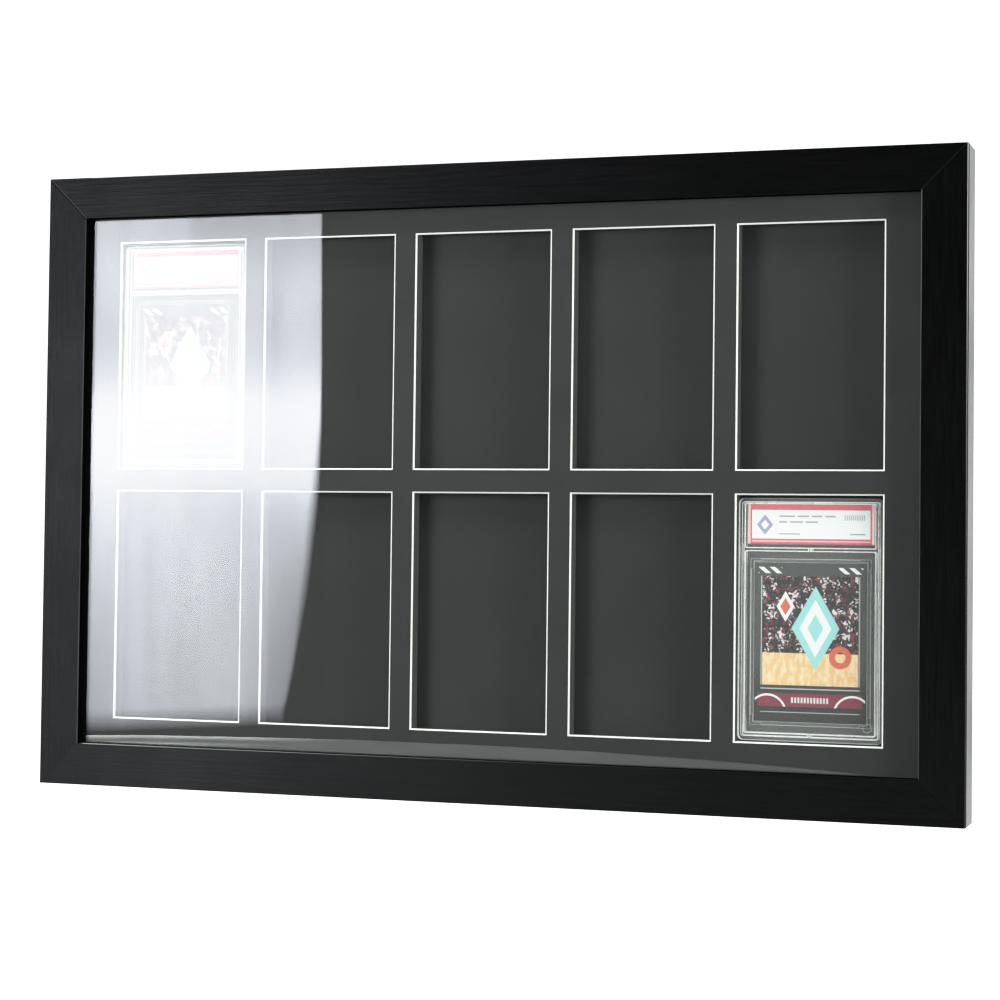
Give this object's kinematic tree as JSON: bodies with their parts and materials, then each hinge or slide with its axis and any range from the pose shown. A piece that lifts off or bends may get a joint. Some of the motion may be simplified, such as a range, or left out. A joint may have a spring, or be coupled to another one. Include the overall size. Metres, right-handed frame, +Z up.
{
  "type": "trading card display case",
  "caption": "Wall-hung framed display for graded trading cards: mitred black moulding, clear glazing, a mat with bevel-cut windows over deep pockets, and a back that lifts off.",
  "frame": {"origin": "middle of the top rail's back face, which is the face that lies against the wall", "axes": "+X to the right seen from the front, +Y back towards the wall, +Z up"},
  "size_m": [0.563, 0.0335, 0.373],
  "materials": {
    "moulding": "satin black film with a fine embossed wood grain along each rail",
    "nail_steel": "blued steel vee nail, end on",
    "glazing": "clear, polished both sides",
    "mat_paper": "matt black-grey mount board face, fine felt",
    "mat_core": "white core, cut at 45 degrees",
    "spacer_board": "black foam board, clean cut edges",
    "lining_card": "matt black card",
    "panel_board": "thin hardboard, smooth outside",
    "tab_steel": "spring steel, flexible",
    "holder_plastic": "clear polished moulding",
    "insert_plastic": "thin clear sheet",
    "card_print": "coated print of a plain geometric design",
    "label_print": "white paper with a red border and plain grey bars",
    "foam": "soft black foam, self-adhesive",
    "hanger_steel": "nickel-plated pressed strip",
    "ring_steel": "nickel-plated wire",
    "screw_steel": "zinc-plated pan head with a cross recess",
    "bumper_rubber": "soft black rubber"
  },
  "bodies": {
    "frame": {"rail_top": "moulding", "rail_bottom": "moulding", "rail_left": "moulding", "rail_right": "moulding", "corner_nails": "nail_steel", "glazing": "glazing", "mat_face": "mat_paper", "mat_core": "mat_core", "pocket_spacer": "spacer_board", "retaining_tabs": "tab_steel", "wall_bumpers": "bumper_rubber", "hanger_left_strap": "hanger_steel", "hanger_left_screws": "screw_steel", "hanger_right_strap": "hanger_steel", "hanger_right_screws": "screw_steel"},
    "back": {"lining_card": "lining_card", "back_panel": "panel_board", "holder_a_front_shell": "holder_plastic", "holder_a_back_shell": "holder_plastic", "holder_a_insert": "insert_plastic", "holder_a_card": "card_print", "holder_a_label": "label_print", "holder_a_pads": "foam", "holder_b_front_shell": "holder_plastic", "holder_b_back_shell": "holder_plastic", "holder_b_insert": "insert_plastic", "holder_b_card": "card_print", "holder_b_label": "label_print", "holder_b_pads": "foam"},
    "ring_left": {"hanger_left_ring": "ring_steel"},
    "ring_right": {"hanger_right_ring": "ring_steel"}
  },
  "joints": [
    {"name": "back_slide", "type": "slide", "parent": "frame", "child": "back", "axis": [0, 1, 0], "range_m": [0, 0.045], "deforming": ["retaining_tabs"]},
    {"name": "ring_left_swing", "type": "hinge", "parent": "frame", "child": "ring_left", "pos_m": [-0.27175, 0.0021, -0.08225], "axis": [1, 0, 0], "range_deg": [0, 175]},
    {"name": "ring_right_swing", "type": "hinge", "parent": "frame", "child": "ring_right", "pos_m": [0.27175, 0.0021, -0.08225], "axis": [1, 0, 0], "range_deg": [0, 175]}
  ]
}
